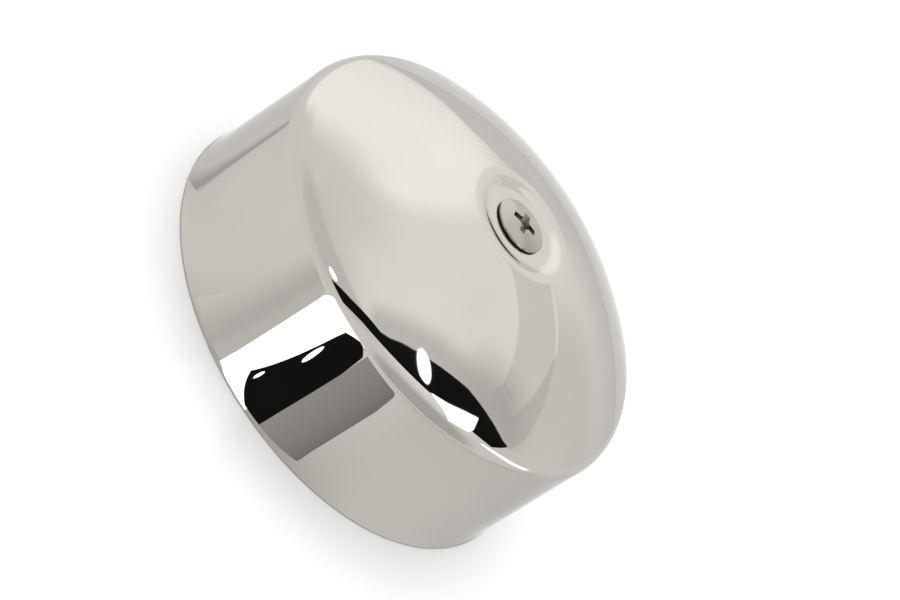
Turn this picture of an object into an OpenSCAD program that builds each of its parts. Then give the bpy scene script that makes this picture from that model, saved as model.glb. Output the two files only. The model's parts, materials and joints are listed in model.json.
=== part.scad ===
// Air filter housing for a small engine: a chromed drawn cover over a foam ring
// element, held by one screw to a post that stands on the intake base.
// Frame: the origin is the centre of the rear rim plane, +Z towards the domed face.

/* [Cover] */
// Outside radius of the straight wall
cover_r = 39; // [30:0.5:60]
// Height of the straight wall above the rear rim
wall_h = 23.8; // [12:0.1:50]
// Outside radius of the rounded shoulder
shoulder_r = 5; // [2:0.1:10]
// Outside radius of the domed face
dome_r = 64.75; // [45:0.25:150]
// Sheet thickness
sheet = 0.8; // [0.5:0.1:1.5]
// How far the rear rim flares outwards
flare = 0.3; // [0.1:0.05:1]
// Height of the flared zone
flare_h = 5; // [2:0.5:10]
// Height of the flat seat in the central dish
seat_z = 38; // [30:0.1:60]
// Radius of the flat seat
seat_r = 6.5; // [4:0.1:12]
// Radius of both bends of the dish
dish_bend_r = 6; // [2:0.5:12]
// Radius of the screw hole
cover_hole_r = 2.8; // [2:0.1:5]

/* [Screw] */
// Radius of the shank, M5
screw_r = 2.5; // [1.5:0.1:4]
// Length under the head
screw_len = 12; // [8:1:20]
// Radius of the head
head_r = 5; // [3:0.1:8]
// Height of the head's straight edge
head_edge_h = 0.3; // [0.3:0.1:3]
// Height of the crown above the edge
head_crown_h = 0.9; // [0.3:0.1:2]
// Length of the cross recess, tip to tip
recess_len = 4.9; // [3:0.1:7]
// Width of the cross recess
recess_w = 1.2; // [0.6:0.1:2]
// Angle of the cross recess about the axis
screw_clock = 20; // [0:1:90]
// Thickness of the washer under the head
head_washer_h = 0.2; // [0.2:0.1:1]
// Radius of the washer under the head
head_washer_r = 4.7; // [3:0.1:8]
// Thickness of the seal between cover and post
screw_seal_h = 1; // [0.5:0.1:2]
// Outside radius of that seal
screw_seal_r = 5.2; // [4:0.1:8]

/* [Element] */
// Outside radius of the foam ring
foam_r = 30.8; // [20:0.1:40]
// Inside radius of the foam ring
foam_bore_r = 24.6; // [15:0.1:35]
// Top of the foam ring
foam_z1 = 28; // [15:0.1:40]
// Thickness of the sheet in the end rings
end_ring_t = 0.8; // [0.4:0.1:1.5]
// Depth of the end rings' turned edges
end_ring_lip = 2.4; // [1:0.1:5]
// Thickness of the perforated cage and screen
screen_t = 0.5; // [0.3:0.1:1]
// Thickness of the lower rubber seal
low_seal_h = 1.2; // [0.5:0.1:3]
// Inside radius of the upper seal
top_seal_bore_r = 27; // [24:0.1:30]
// Gap between the upper seal and the cover
top_seal_gap = 0.3; // [0.1:0.1:1]

/* [Base] */
// Radius of the base plate
base_r = 33; // [25:0.1:38]
// Thickness of the base plate
base_t = 1.2; // [0.8:0.1:3]
// Thickness of the base plate's upturned lip
base_lip_t = 1; // [0.5:0.1:2]
// Height of the lip above the base plate
base_lip_h = 3; // [1:0.1:8]
// Thickness of the mounting gasket
gasket_t = 1; // [0.5:0.1:2]
// Radius of the mounting gasket
gasket_r = 25; // [20:0.1:32]
// Width across the mounting gasket's flats
gasket_w = 34; // [28:0.5:50]
// Width of the locating ears
ear_w = 8; // [4:0.5:15]
// Height of the ears' turned-up ends
ear_h = 8; // [4:0.5:15]
// Gap between the ears' pads and the cover
pad_gap = 0.3; // [0.1:0.1:1]
// Thickness of the rubber on the ears
pad_t = 0.8; // [0.5:0.1:2]

/* [Intake] */
// Radius of the intake bore
bore_r = 11; // [8:0.1:20]
// Wall thickness of the intake horn
horn_t = 1; // [0.6:0.1:2]
// Top of the horn's straight bore
horn_straight_z = 8; // [5:0.1:20]
// Radius of the bell mouth's bend
bell_r = 2.4; // [1:0.1:5]
// Distance between the two fixing holes
fixing_span = 36; // [30:0.5:60]
// Radius of the fixing holes, for M5
fixing_r = 2.75; // [2:0.05:5]
// Wall thickness of the sleeves in the fixing holes
sleeve_t = 0.85; // [0.5:0.05:2]
// Thickness of the stiffening plate
plate_t = 2; // [1:0.1:4]

/* [Bridge and post] */
// Underside of the bridge's bar
bridge_z = 16; // [12:0.5:25]
// Thickness of the bridge's strip
bridge_t = 2; // [1:0.1:3]
// Width of the bridge's strip
bridge_w = 10; // [6:0.5:14]
// Distance from the axis to the legs' inner faces
bridge_leg_y = 15; // [12:0.5:22]
// Distance from the axis to the feet's ends
bridge_foot_y = 22; // [18:0.5:28]
// Radius of the rivets
rivet_r = 1.6; // [1:0.1:3]
// Width across the flats of the post and its nut
post_flats = 8; // [6:0.5:12]
// Radius of the threaded hole in the post
post_hole_r = 2.55; // [2:0.01:4]
// Depth of the threaded hole in the post
post_hole_depth = 13; // [8:0.5:16]
// Height of the post's nut
nut_h = 4; // [2:0.5:6]
// Thickness of the spring washer on the post
spring_washer_h = 1.1; // [0.5:0.1:2]

/* [Hidden] */
$fn = 96;
dome_fn = 480;
eps = 0.01;
margin = 1;
tall = 80;
across_corners = 2 / sqrt(3);

shoulder_x = cover_r - shoulder_r;
dome_edge = asin(shoulder_x / (dome_r - shoulder_r));
dome_z = wall_h - (dome_r - shoulder_r) * cos(dome_edge);
flare_r = round(50 * (flare_h * flare_h / flare + flare)) / 100;

bend_low = [seat_r, seat_z + dish_bend_r];
bend_span = norm([bend_low[0], bend_low[1] - dome_z]);
bend_reach = dome_r - dish_bend_r;
bend_lean = atan2(bend_low[0], bend_low[1] - dome_z);
bend_swing = acos((bend_span * bend_span + bend_reach * bend_reach
    - 4 * dish_bend_r * dish_bend_r) / (2 * bend_span * bend_reach));
bend_dir = bend_lean + bend_swing;
bend_high = [bend_reach * sin(bend_dir), dome_z + bend_reach * cos(bend_dir)];

under_seat_z = seat_z - sheet;
head_z = seat_z + head_washer_h;
post_top = under_seat_z - screw_seal_h;
crown_r = (head_r * head_r + head_crown_h * head_crown_h) / (2 * head_crown_h);

base_z = gasket_t;
base_top = base_z + base_t;
low_seal_top = base_top + low_seal_h;
foam_z0 = low_seal_top + end_ring_t;
element_r = foam_r + screen_t;
element_bore_r = foam_bore_r - screen_t;
ear_r = cover_r - sheet - pad_gap - pad_t;
plate_top = base_top + plate_t;
plate_w = 2 * bridge_leg_y - 1;
horn_r = bore_r + horn_t;
bridge_top = bridge_z + bridge_t;
nut_top = bridge_z - spring_washer_h;
rivet_y = (bridge_leg_y + bridge_t + bridge_foot_y) / 2;

module ring(r_out, r_in, h) {
  difference() {
    cylinder(r = r_out, h = h);
    translate([0, 0, -margin])
      cylinder(r = r_in, h = h + 2 * margin);
  }
}

module copies(count, start = 0) {
  for (i = [0 : count - 1])
    rotate([0, 0, start + i * 360 / count])
      children();
}

module at_fixings() {
  for (side = [-1, 1])
    translate([side * fixing_span / 2, 0, 0])
      children();
}

module flat_sided(r, w, h) {
  intersection() {
    cylinder(r = r, h = h);
    translate([-r, -w / 2, 0])
      cube([2 * r, w, h]);
  }
}

// Moves by a whole part and a small part, so that arcs which touch stay exactly tangent.
module at(p) {
  whole = [for (v = p) floor(v)];
  translate(whole)
    translate(p - whole)
      children();
}

// The dish in the middle of the face, for the surface t below the outside one.
module dish_2d(t) {
  edge_x = (dome_r - t) * sin(bend_dir);
  difference() {
    translate([0, seat_z - t])
      square([edge_x, tall]);
    at(bend_high)
      circle(r = dish_bend_r - t);
    difference() {
      polygon([bend_low, bend_high, [bend_low[0], bend_high[1]]]);
      at(bend_low)
        circle(r = dish_bend_r + t);
    }
  }
}

// Half section of everything inside the surface t below the outside one.
module cup_2d(t, low) {
  difference() {
    union() {
      translate([0, low])
        square([cover_r - t, wall_h - low]);
      translate([shoulder_x, wall_h])
        circle(r = shoulder_r - t);
      intersection() {
        at([0, dome_z])
          circle(r = dome_r - t, $fn = dome_fn);
        translate([0, wall_h - margin])
          square([(dome_r - t) * sin(dome_edge), tall]);
      }
      difference() {
        translate([shoulder_x, low])
          square([shoulder_r - t + flare + eps, flare_h - low]);
        translate([cover_r + flare_r, flare_h])
          circle(r = flare_r + t);
      }
    }
    dish_2d(t);
  }
}

module cover() {
  color([0.86, 0.85, 0.83])
    rotate_extrude()
      difference() {
        cup_2d(0, 0);
        cup_2d(sheet, -margin);
        square([cover_hole_r, tall]);
      }
}

module recess() {
  deep = 1.6;
  point_r = 1;
  for (turn = [0, 90])
    rotate([0, 0, screw_clock + turn])
      translate([-recess_len / 2, -recess_w / 2, -deep])
        cube([recess_len, recess_w, deep + margin]);
  translate([0, 0, -deep - point_r])
    cylinder(r1 = point_r / 2, r2 = 2 * point_r, h = deep + point_r);
}

module cover_screw() {
  crown_z = head_z + head_edge_h;
  color([0.78, 0.76, 0.73])
    difference() {
      union() {
        translate([0, 0, head_z - screw_len])
          cylinder(r = screw_r, h = screw_len + eps);
        translate([0, 0, head_z])
          cylinder(r = head_r, h = head_edge_h);
        intersection() {
          translate([0, 0, crown_z + head_crown_h - crown_r])
            sphere(r = crown_r);
          translate([0, 0, crown_z - eps])
            cylinder(r = head_r, h = head_crown_h + margin);
        }
      }
      translate([0, 0, crown_z + head_crown_h - eps])
        recess();
    }
}

module head_washer() {
  color([0.1, 0.1, 0.1])
    translate([0, 0, seat_z])
      ring(head_washer_r, cover_hole_r, head_washer_h);
}

module screw_seal() {
  color([0.12, 0.12, 0.12])
    translate([0, 0, post_top])
      ring(screw_seal_r, cover_hole_r, screw_seal_h);
}

module top_gasket() {
  color([0.15, 0.15, 0.15])
    rotate_extrude()
      intersection() {
        translate([top_seal_bore_r, foam_z1 + end_ring_t])
          square([element_r - top_seal_bore_r, wall_h]);
        translate([0, dome_z])
          circle(r = dome_r - sheet - top_seal_gap, $fn = dome_fn);
      }
}

// A pressed ring with both edges turned towards the foam.
module end_ring() {
  color([0.7, 0.7, 0.72])
    difference() {
      ring(element_r + end_ring_t / 2, element_bore_r - end_ring_t / 2, end_ring_t + end_ring_lip);
      translate([0, 0, end_ring_t])
        ring(element_r, element_bore_r, end_ring_lip + margin);
    }
}

module bottom_ring() {
  translate([0, 0, low_seal_top])
    end_ring();
}

module top_ring() {
  translate([0, 0, foam_z1 + end_ring_t])
    mirror([0, 0, 1])
      end_ring();
}

module foam() {
  color([0.2, 0.24, 0.3])
    translate([0, 0, foam_z0])
      ring(foam_r, foam_bore_r, foam_z1 - foam_z0);
}

// A tube from the foam's underside to its top, with rows of diamond holes.
module perforated(r_out, rows, count, hole_r) {
  foam_h = foam_z1 - foam_z0;
  clear_h = foam_h - 2 * end_ring_lip;
  step = clear_h / rows;
  color([0.72, 0.72, 0.74])
    difference() {
      translate([0, 0, foam_z0])
        ring(r_out, r_out - screen_t, foam_h);
      for (row = [0 : rows - 1])
        translate([0, 0, foam_z0 + end_ring_lip + (row + 0.5) * step])
          copies(count, (row % 2) * 180 / count)
            translate([r_out - 2 * screen_t, 0, 0])
              rotate([0, 90, 0])
                cylinder(r = hole_r, h = 3 * screen_t, $fn = 4);
    }
}

module inner_cage() {
  perforated(foam_bore_r, 4, 20, 2);
}

module outer_screen() {
  perforated(element_r, 5, 30, 1.7);
}

module bottom_gasket() {
  color([0.12, 0.12, 0.12])
    translate([0, 0, base_top])
      ring(element_r, element_bore_r, low_seal_h);
}

module base_plate() {
  color([0.16, 0.16, 0.17])
    difference() {
      union() {
        translate([0, 0, base_z])
          cylinder(r = base_r, h = base_t);
        translate([0, 0, base_z])
          ring(base_r, base_r - base_lip_t, base_t + base_lip_h);
        intersection() {
          copies(4, 45)
            translate([base_r - base_lip_t, -ear_w / 2, base_z])
              cube([base_lip_t + margin + ear_r - base_r, ear_w, ear_h]);
          translate([0, 0, base_z])
            difference() {
              cylinder(r = ear_r, h = ear_h);
              translate([0, 0, base_t])
                cylinder(r = ear_r - base_t, h = ear_h);
            }
        }
      }
      translate([0, 0, base_z - margin])
        cylinder(r = horn_r, h = base_t + 2 * margin);
      at_fixings()
        translate([0, 0, base_z - margin])
          cylinder(r = fixing_r + sleeve_t, h = base_t + 2 * margin);
      for (side = [-1, 1])
        translate([0, side * rivet_y, base_z - margin])
          cylinder(r = rivet_r, h = base_t + 2 * margin);
    }
}

module ear_pads() {
  pad_w = ear_w + 2 * pad_t;
  pad_z = base_top + margin;
  pad_h = base_z + ear_h + pad_t - pad_z;
  color([0.1, 0.1, 0.1])
    difference() {
      intersection() {
        translate([0, 0, pad_z])
          ring(ear_r + pad_t, ear_r - base_t - pad_t, pad_h);
        copies(4, 45)
          translate([base_r, -pad_w / 2, pad_z])
            cube([cover_r - base_r, pad_w, pad_h]);
      }
      intersection() {
        translate([0, 0, pad_z - margin])
          ring(ear_r, ear_r - base_t, base_z + ear_h - pad_z + margin);
        copies(4, 45)
          translate([base_r, -ear_w / 2, pad_z - margin])
            cube([cover_r - base_r, ear_w, pad_h + margin]);
      }
    }
}

module mount_gasket() {
  color([0.25, 0.22, 0.18])
    difference() {
      flat_sided(gasket_r, gasket_w, gasket_t);
      translate([0, 0, -margin])
        cylinder(r = horn_r, h = gasket_t + 2 * margin);
      at_fixings()
        translate([0, 0, -margin])
          cylinder(r = fixing_r, h = gasket_t + 2 * margin);
    }
}

module mount_plate() {
  color([0.62, 0.62, 0.64])
    translate([0, 0, base_top])
      difference() {
        flat_sided(element_bore_r - margin, plate_w, plate_t);
        translate([0, 0, -margin])
          cylinder(r = horn_r, h = plate_t + 2 * margin);
        at_fixings()
          translate([0, 0, -margin])
            cylinder(r = fixing_r + sleeve_t, h = plate_t + 2 * margin);
      }
}

module bolt_sleeves() {
  flange_r = fixing_r + 2 * sleeve_t;
  color([0.75, 0.73, 0.66])
    at_fixings() {
      translate([0, 0, base_z])
        ring(fixing_r + sleeve_t, fixing_r, base_t + plate_t + sleeve_t);
      translate([0, 0, plate_top])
        ring(flange_r, fixing_r + sleeve_t - eps, sleeve_t);
    }
}

module intake_horn() {
  horn_z = 0.2;
  collar_t = 1;
  collar_r = horn_r + 1.2;
  bell_x = bore_r + bell_r + horn_t;
  color([0.74, 0.74, 0.76])
    rotate_extrude()
      union() {
        translate([bore_r, horn_z])
          square([horn_t, horn_straight_z - horn_z]);
        translate([bore_r + horn_t / 2, plate_top])
          square([collar_r - bore_r - horn_t / 2, collar_t]);
        intersection() {
          difference() {
            translate([bell_x, horn_straight_z])
              circle(r = bell_r + horn_t);
            translate([bell_x, horn_straight_z])
              circle(r = bell_r);
          }
          translate([bore_r, horn_straight_z - eps])
            square([bell_r + horn_t, bell_r + horn_t + eps]);
        }
      }
}

module bridge() {
  color([0.7, 0.7, 0.72])
    difference() {
      union() {
        translate([-bridge_w / 2, -bridge_leg_y - bridge_t, bridge_z])
          cube([bridge_w, 2 * (bridge_leg_y + bridge_t), bridge_t]);
        for (side = [0, 1])
          mirror([0, side, 0]) {
            translate([-bridge_w / 2, bridge_leg_y, base_top])
              cube([bridge_w, bridge_t, bridge_top - base_top]);
            translate([-bridge_w / 2, bridge_leg_y, base_top])
              cube([bridge_w, bridge_foot_y - bridge_leg_y, bridge_t]);
          }
      }
      translate([0, 0, bridge_z - margin])
        cylinder(r = screw_r, h = bridge_t + 2 * margin);
      for (side = [-1, 1])
        translate([0, side * rivet_y, base_top - margin])
          cylinder(r = rivet_r, h = bridge_t + 2 * margin);
    }
}

module bridge_rivets() {
  rivet_head_r = 1.5 * rivet_r;
  rivet_head_h = 1;
  closed_h = 0.6;
  color([0.8, 0.8, 0.81])
    for (side = [-1, 1])
      translate([0, side * rivet_y, 0]) {
        translate([0, 0, base_z - closed_h])
          cylinder(r = rivet_head_r, h = closed_h);
        translate([0, 0, base_z - eps])
          cylinder(r = rivet_r, h = base_t + bridge_t + 2 * eps);
        translate([0, 0, base_top + bridge_t])
          cylinder(r = rivet_head_r, h = rivet_head_h);
      }
}

module cover_post() {
  tail_z = nut_top - nut_h - 0.7;
  color([0.76, 0.74, 0.66])
    difference() {
      union() {
        translate([0, 0, bridge_top])
          cylinder(r = post_flats / 2 * across_corners, h = post_top - bridge_top, $fn = 6);
        translate([0, 0, tail_z])
          cylinder(r = screw_r, h = bridge_top - tail_z + eps);
      }
      translate([0, 0, post_top - post_hole_depth])
        cylinder(r = post_hole_r, h = post_hole_depth + margin);
    }
}

module post_washer() {
  color([0.6, 0.6, 0.62])
    translate([0, 0, nut_top])
      ring(post_flats / 2, screw_r, spring_washer_h);
}

module post_nut() {
  color([0.76, 0.74, 0.66])
    translate([0, 0, nut_top - nut_h])
      difference() {
        cylinder(r = post_flats / 2 * across_corners, h = nut_h, $fn = 6);
        translate([0, 0, -margin])
          cylinder(r = screw_r, h = nut_h + 2 * margin);
      }
}

cover();
cover_screw();
head_washer();
screw_seal();
top_gasket();
top_ring();
foam();
inner_cage();
outer_screen();
bottom_ring();
bottom_gasket();
base_plate();
ear_pads();
mount_gasket();
mount_plate();
bolt_sleeves();
intake_horn();
bridge();
bridge_rivets();
cover_post();
post_washer();
post_nut();
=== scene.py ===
"""Air filter housing: chromed cover with one central screw, over a foam element and an intake base."""

import json
import math

import bmesh
import bpy
from mathutils import Matrix, Quaternion, Vector


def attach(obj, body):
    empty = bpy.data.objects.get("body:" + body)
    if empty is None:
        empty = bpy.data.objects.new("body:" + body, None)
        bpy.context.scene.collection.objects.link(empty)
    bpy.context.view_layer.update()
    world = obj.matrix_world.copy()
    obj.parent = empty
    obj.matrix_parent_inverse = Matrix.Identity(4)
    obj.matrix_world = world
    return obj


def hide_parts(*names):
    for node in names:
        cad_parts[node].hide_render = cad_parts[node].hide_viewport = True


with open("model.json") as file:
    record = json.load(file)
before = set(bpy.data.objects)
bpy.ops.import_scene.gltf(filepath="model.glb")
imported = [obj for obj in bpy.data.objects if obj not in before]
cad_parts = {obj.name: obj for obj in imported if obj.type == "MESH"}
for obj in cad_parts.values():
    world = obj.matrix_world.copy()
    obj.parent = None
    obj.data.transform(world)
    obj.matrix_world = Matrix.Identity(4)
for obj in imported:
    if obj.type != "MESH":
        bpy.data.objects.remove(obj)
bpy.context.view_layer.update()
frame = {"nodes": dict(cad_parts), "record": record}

MM = 0.001
TAU = 2 * math.pi

# ---------------------------------------------------------------- camera
CAM_ELEVATION = math.radians(30.95)
CAM_ROLL = math.radians(57.33)
CAM_AIM = Vector((3.9, 8.67, 14.38)) * MM
CAM_DISTANCE = 773.5 * MM
CAM_LENS = 187.1

forward = Vector((0, math.cos(CAM_ELEVATION), -math.sin(CAM_ELEVATION)))
camera = bpy.data.objects.new("camera", bpy.data.cameras.new("camera"))
bpy.context.collection.objects.link(camera)
camera.data.lens = CAM_LENS
camera.data.sensor_width = 36
camera.data.clip_start = 0.01
camera.data.clip_end = 50
camera.location = CAM_AIM - forward * CAM_DISTANCE
camera.rotation_mode = "QUATERNION"
camera.rotation_quaternion = forward.to_track_quat("-Z", "Y") @ Quaternion((0, 0, 1), CAM_ROLL)
bpy.context.scene.camera = camera
bpy.context.scene.view_settings.view_transform = "Standard"


# ---------------------------------------------------------------- materials
class Nodes:
    """A material's node tree, with the few node kinds used here."""

    def __init__(self, name, **principled):
        self.material = bpy.data.materials.new(name)
        self.material.use_nodes = True
        self.tree = self.material.node_tree
        self.shader = self.tree.nodes["Principled BSDF"]
        self.coords = self.tree.nodes.new("ShaderNodeTexCoord")
        for socket, value in principled.items():
            self.shader.inputs[socket.replace("_", " ")].default_value = value

    def link(self, a, b):
        self.tree.links.new(a, b)

    def place(self, scale=(1, 1, 1)):
        mapping = self.tree.nodes.new("ShaderNodeMapping")
        mapping.inputs["Scale"].default_value = scale
        self.link(self.coords.outputs["Object"], mapping.inputs["Vector"])
        return mapping.outputs["Vector"]

    def around(self, scale_angle=1, scale_r=1, scale_z=1):
        """Coordinates that run round the axis, out from it and along it."""
        split = self.tree.nodes.new("ShaderNodeSeparateXYZ")
        self.link(self.coords.outputs["Object"], split.inputs[0])
        x, y, z = split.outputs
        angle = self.math("ARCTAN2", y, x)
        flat = self.tree.nodes.new("ShaderNodeCombineXYZ")
        self.link(x, flat.inputs[0])
        self.link(y, flat.inputs[1])
        length = self.tree.nodes.new("ShaderNodeVectorMath")
        length.operation = "LENGTH"
        self.link(flat.outputs[0], length.inputs[0])
        joined = self.tree.nodes.new("ShaderNodeCombineXYZ")
        self.link(self.math("MULTIPLY", angle, scale_angle), joined.inputs[0])
        self.link(self.math("MULTIPLY", length.outputs["Value"], scale_r), joined.inputs[1])
        self.link(self.math("MULTIPLY", z, scale_z), joined.inputs[2])
        return joined.outputs[0]

    def math(self, operation, a, b):
        node = self.tree.nodes.new("ShaderNodeMath")
        node.operation = operation
        for socket, value in zip(node.inputs, (a, b)):
            if isinstance(value, (int, float)):
                socket.default_value = value
            else:
                self.link(value, socket)
        return node.outputs[0]

    def noise(self, vector, scale, detail=4.0, rough=0.55):
        node = self.tree.nodes.new("ShaderNodeTexNoise")
        node.inputs["Scale"].default_value = scale
        node.inputs["Detail"].default_value = detail
        node.inputs["Roughness"].default_value = rough
        self.link(vector, node.inputs["Vector"])
        return node.outputs["Fac"]

    def cells(self, vector, scale, feature="F1", output="Distance"):
        node = self.tree.nodes.new("ShaderNodeTexVoronoi")
        node.feature = feature
        node.inputs["Scale"].default_value = scale
        self.link(vector, node.inputs["Vector"])
        return node.outputs[output]

    def ramp(self, fac, *stops):
        """Colours or grey levels at positions of fac, as (position, value) pairs."""
        node = self.tree.nodes.new("ShaderNodeValToRGB")
        elements = node.color_ramp.elements
        while len(elements) < len(stops):
            elements.new(0.5)
        for element, (position, value) in zip(elements, stops):
            element.position = position
            colour = (value,) * 3 if isinstance(value, (int, float)) else value
            element.color = (*colour, 1)
        self.link(fac, node.inputs["Fac"])
        return node.outputs["Color"]

    def bump(self, *layers):
        """Stacked bump layers, as (height, strength, distance) triples."""
        normal = None
        for height, strength, distance in layers:
            node = self.tree.nodes.new("ShaderNodeBump")
            node.inputs["Strength"].default_value = strength
            node.inputs["Distance"].default_value = distance
            self.link(height, node.inputs["Height"])
            if normal is not None:
                self.link(normal, node.inputs["Normal"])
            normal = node.outputs["Normal"]
        self.link(normal, self.shader.inputs["Normal"])

    def set(self, socket, output):
        self.link(output, self.shader.inputs[socket])


def shades(colour, *factors):
    return [tuple(c * f for c in colour) for f in factors]


def chrome(name, colour, haze, wobble):
    """Polished plate: faint smudges in the gloss, fine polishing lines and a slight waviness."""
    n = Nodes(name, Metallic=1.0, Specular_Tint=(0.72, 0.72, 0.72, 1))
    smudge = n.noise(n.place(), 45, 5)
    fine = n.noise(n.around(3, 900, 900), 1, 3)
    dark, light = shades(colour, 0.965, 1.02)
    n.set("Base Color", n.ramp(smudge, (0.35, dark), (0.65, light)))
    n.set("Roughness", n.ramp(smudge, (0.3, haze), (0.55, haze * 1.3), (0.8, haze * 2.6)))
    n.bump((n.noise(n.place(), 38, 1.5), wobble, 0.0006), (fine, 0.012, 0.00002))
    return n.material


def turned_metal(name, colour, low, high, ring_scale, metallic=1.0):
    """Metal with fine rings round the axis, from turning or spinning."""
    n = Nodes(name, Metallic=metallic)
    rings = n.noise(n.around(0.6, ring_scale, ring_scale), 1, 6, 0.7)
    blotch = n.noise(n.place(), 120, 4)
    dark, light = shades(colour, 0.8, 1.08)
    n.set("Base Color", n.ramp(blotch, (0.3, dark), (0.7, light)))
    n.set("Roughness", n.ramp(rings, (0.25, low), (0.75, high)))
    n.bump((rings, 0.25, 0.00004), (blotch, 0.1, 0.00005))
    return n.material


def plated_sheet(name, colour, low, high, tint=None):
    """Plated pressed sheet: rolling lines, cloudy plate and a few dull spots."""
    n = Nodes(name, Metallic=1.0)
    rolling = n.noise(n.place((1, 14, 1)), 260, 5, 0.7)
    cloud = n.noise(n.place(), 90, 5)
    spots = n.cells(n.place(), 420)
    dark, light = shades(colour, 0.72, 1.1)
    n.set("Base Color", n.ramp(cloud, (0.3, dark), (0.52, tint or colour), (0.72, light)))
    n.set("Roughness", n.ramp(rolling, (0.3, low), (0.7, high)))
    n.bump((rolling, 0.12, 0.00004), (spots, 0.08, 0.00004))
    return n.material


def painted(name, colour):
    """Baked paint with orange peel, dust and a little rubbing."""
    n = Nodes(name, Coat_Weight=0.25, Coat_Roughness=0.25)
    peel = n.cells(n.place(), 900, "SMOOTH_F1")
    rubbed = n.noise(n.place(), 150, 8, 0.7)
    base, worn, dusty = shades(colour, 1, 1.9, 3.2)
    n.set("Base Color", n.ramp(rubbed, (0.45, base), (0.62, worn), (0.8, dusty)))
    n.set("Roughness", n.ramp(rubbed, (0.3, 0.32), (0.7, 0.55)))
    n.bump((peel, 0.2, 0.00008), (rubbed, 0.1, 0.00003))
    return n.material


def rubber(name, colour, grain=1600):
    """Moulded rubber: matt, with fine grain and a bloom of pale dust."""
    n = Nodes(name, Sheen_Weight=0.15, Sheen_Roughness=0.6)
    fine = n.noise(n.place(), grain, 6, 0.7)
    bloom = n.noise(n.place(), 110, 6, 0.65)
    base, pale = shades(colour, 0.85, 1.9)
    n.set("Base Color", n.ramp(bloom, (0.4, base), (0.75, pale)))
    n.set("Roughness", n.ramp(bloom, (0.3, 0.6), (0.7, 0.85)))
    n.bump((fine, 0.35, 0.00006))
    return n.material


def fibre_sheet(name, colour):
    """Compressed fibre sheet: short tangled strands in two tones."""
    n = Nodes(name)
    strands = n.noise(n.place((1, 5, 1)), 700, 8, 0.75)
    across = n.noise(n.place((5, 1, 1)), 600, 8, 0.75)
    mixed = n.math("ADD", strands, across)
    dark, base, light = shades(colour, 0.55, 1, 1.6)
    n.set("Base Color", n.ramp(n.math("MULTIPLY", mixed, 0.5), (0.38, dark), (0.5, base), (0.62, light)))
    n.set("Roughness", n.ramp(strands, (0.3, 0.7), (0.7, 0.92)))
    n.bump((mixed, 0.4, 0.0001))
    return n.material


def felt(name, colour):
    """Pressed felt: matted curly fibres with a soft sheen."""
    n = Nodes(name, Sheen_Weight=0.6, Sheen_Roughness=0.5)
    hairs = n.noise(n.place((1, 1, 3)), 1300, 10, 0.8)
    clumps = n.noise(n.place(), 260, 5)
    dark, base, light = shades(colour, 0.45, 1, 1.9)
    n.set("Base Color", n.ramp(hairs, (0.36, dark), (0.5, base), (0.66, light)))
    n.set("Roughness", n.ramp(clumps, (0.3, 0.85), (0.7, 1.0)))
    n.bump((clumps, 0.5, 0.0003), (hairs, 0.8, 0.0002))
    return n.material


def open_foam(name, colour):
    """Open-cell foam, oiled: paler struts, with the cells between them painted dark as shade in the pores."""
    n = Nodes(name, Sheen_Weight=0.3, Sheen_Roughness=0.4)
    where = n.place()
    walls = n.cells(where, 1050, "DISTANCE_TO_EDGE")
    small = n.cells(where, 2100, "DISTANCE_TO_EDGE")
    dark, base, light = shades(colour, 0.18, 1, 1.9)
    # The cell hollows are painted dark: painted shade in the pores; the struts keep the paler tone.
    n.set("Base Color", n.ramp(walls, (0.02, light), (0.12, base), (0.32, dark)))
    n.set("Roughness", n.ramp(small, (0.0, 0.5), (0.3, 0.9)))
    n.bump((n.ramp(walls, (0.0, 1.0), (0.3, 0.0)), 0.9, 0.0004), (small, 0.3, 0.0001))
    return n.material


MATERIALS = {
    "cover_chrome": chrome("cover_chrome", (0.49, 0.468, 0.433), 0.02, 0.05),
    "screw_nickel": turned_metal("screw_nickel", (0.34, 0.32, 0.288), 0.12, 0.24, 2600),
    # fibre_black: the head washer's black, partly its own colour and partly painted shade for the thin gap
    # under the screw head.
    "fibre_black": rubber("fibre_black", (0.02, 0.02, 0.02), 2600),
    "seal_rubber": rubber("seal_rubber", (0.022, 0.022, 0.023)),
    "seal_felt": felt("seal_felt", (0.05, 0.05, 0.053)),
    "ring_zinc": plated_sheet("ring_zinc", (0.56, 0.57, 0.6), 0.22, 0.42),
    "foam": open_foam("foam", (0.06, 0.085, 0.14)),
    "screen_steel": plated_sheet("screen_steel", (0.5, 0.5, 0.52), 0.28, 0.5),
    "base_black": painted("base_black", (0.016, 0.016, 0.018)),
    "gasket_paper": fibre_sheet("gasket_paper", (0.12, 0.085, 0.05)),
    "plate_zinc": plated_sheet("plate_zinc", (0.5, 0.51, 0.53), 0.24, 0.45),
    "brass_passivated": plated_sheet("brass_passivated", (0.58, 0.46, 0.2), 0.22, 0.4, (0.55, 0.48, 0.28)),
    "horn_steel": turned_metal("horn_steel", (0.62, 0.62, 0.64), 0.16, 0.34, 1500),
    "rivet_steel": turned_metal("rivet_steel", (0.66, 0.66, 0.67), 0.2, 0.4, 900),
    "spring_steel": plated_sheet("spring_steel", (0.16, 0.16, 0.17), 0.3, 0.5),
}
COVER_INSIDE = plated_sheet("cover_inside", (0.36, 0.355, 0.34), 0.18, 0.34)

BODY_OF = {node: body for body, nodes in frame["record"]["behaviour"]["bodies"].items() for node in nodes}
SLOT_OF = {s["node"]: s["material_slot"] for s in frame["record"]["subparts"]}


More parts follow.
